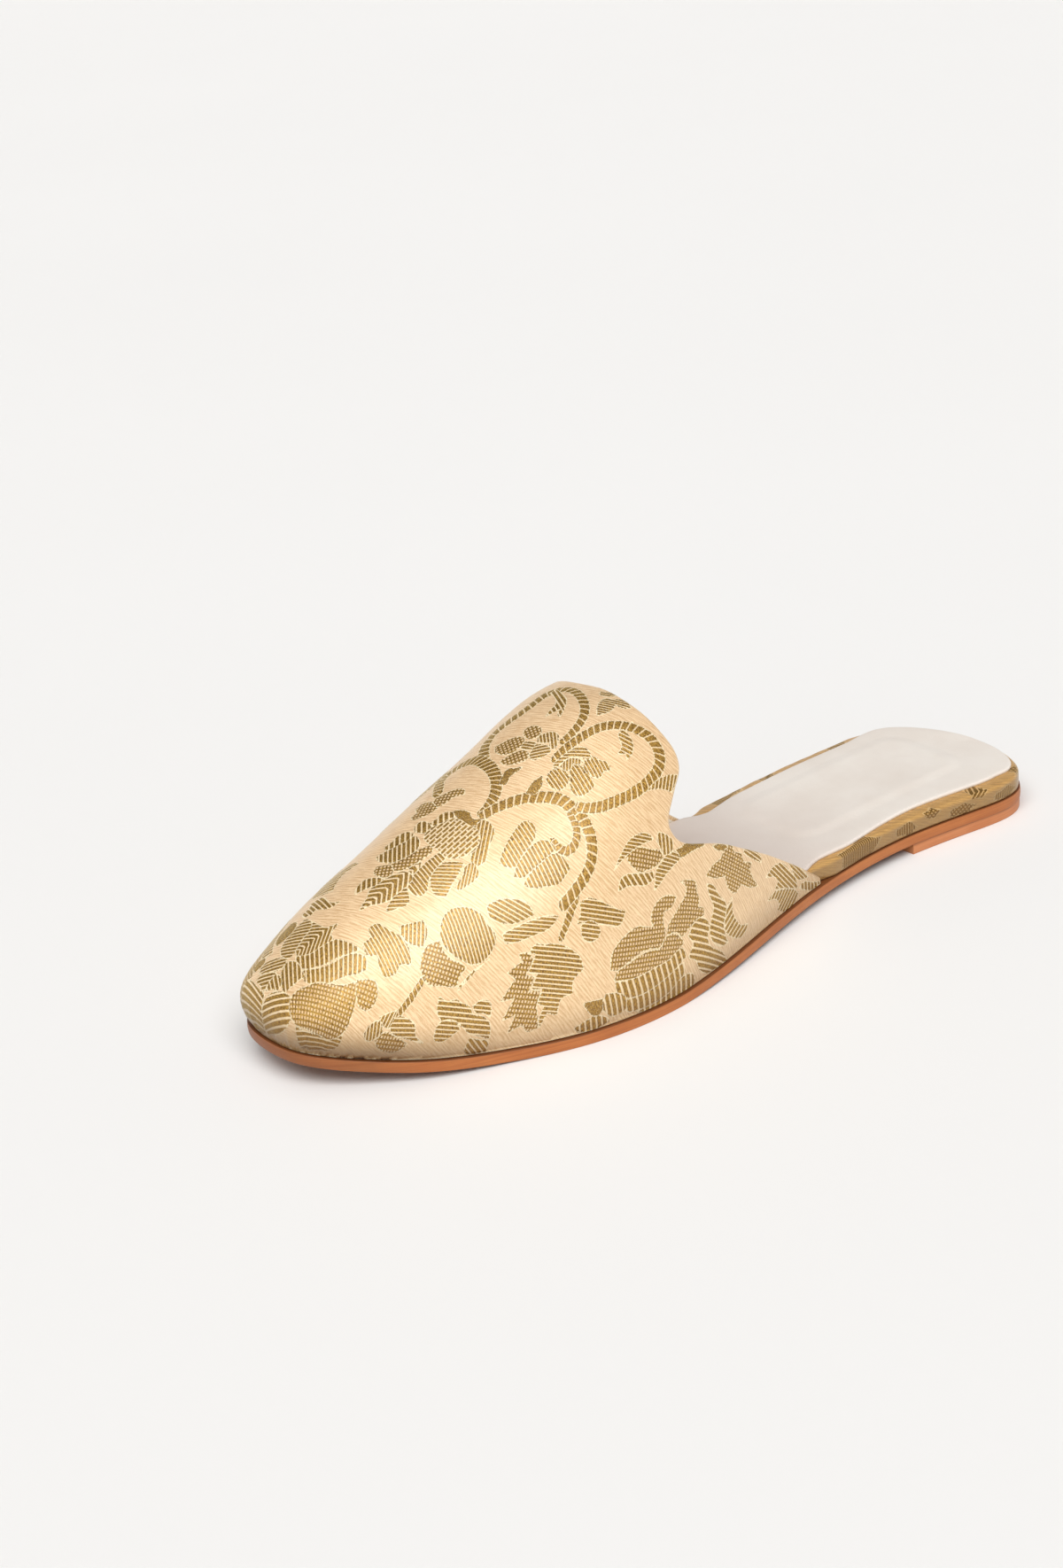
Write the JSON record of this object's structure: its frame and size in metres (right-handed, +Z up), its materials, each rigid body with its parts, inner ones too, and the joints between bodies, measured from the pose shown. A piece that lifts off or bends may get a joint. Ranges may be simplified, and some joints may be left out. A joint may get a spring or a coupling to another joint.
{
  "type": "slide mule",
  "caption": "Flat slide mule for the left foot: almond toe, high rounded tongue, side wings, open heel, thin sole with a low heel lift.",
  "frame": {"origin": "middle of the shoe's bounding box in plan, on the floor", "axes": "+Z up, +Y from toe to heel, +X towards the little-toe side of this left shoe"},
  "size_m": [0.0836, 0.2579, 0.0753],
  "materials": {
    "sole_leather": "waxed tan edge",
    "lift_leather": "waxed darker tan edge",
    "rim_brocade": "woven brocade, gold on beige",
    "sock_leather": "smooth ivory",
    "upper_brocade": "woven satin brocade, gold motifs on peach beige"
  },
  "bodies": {
    "root": {"outsole": "sole_leather", "heel_lift": "lift_leather", "footbed": "rim_brocade", "insole_sock": "sock_leather", "upper": "upper_brocade"}
  },
  "joints": []
}
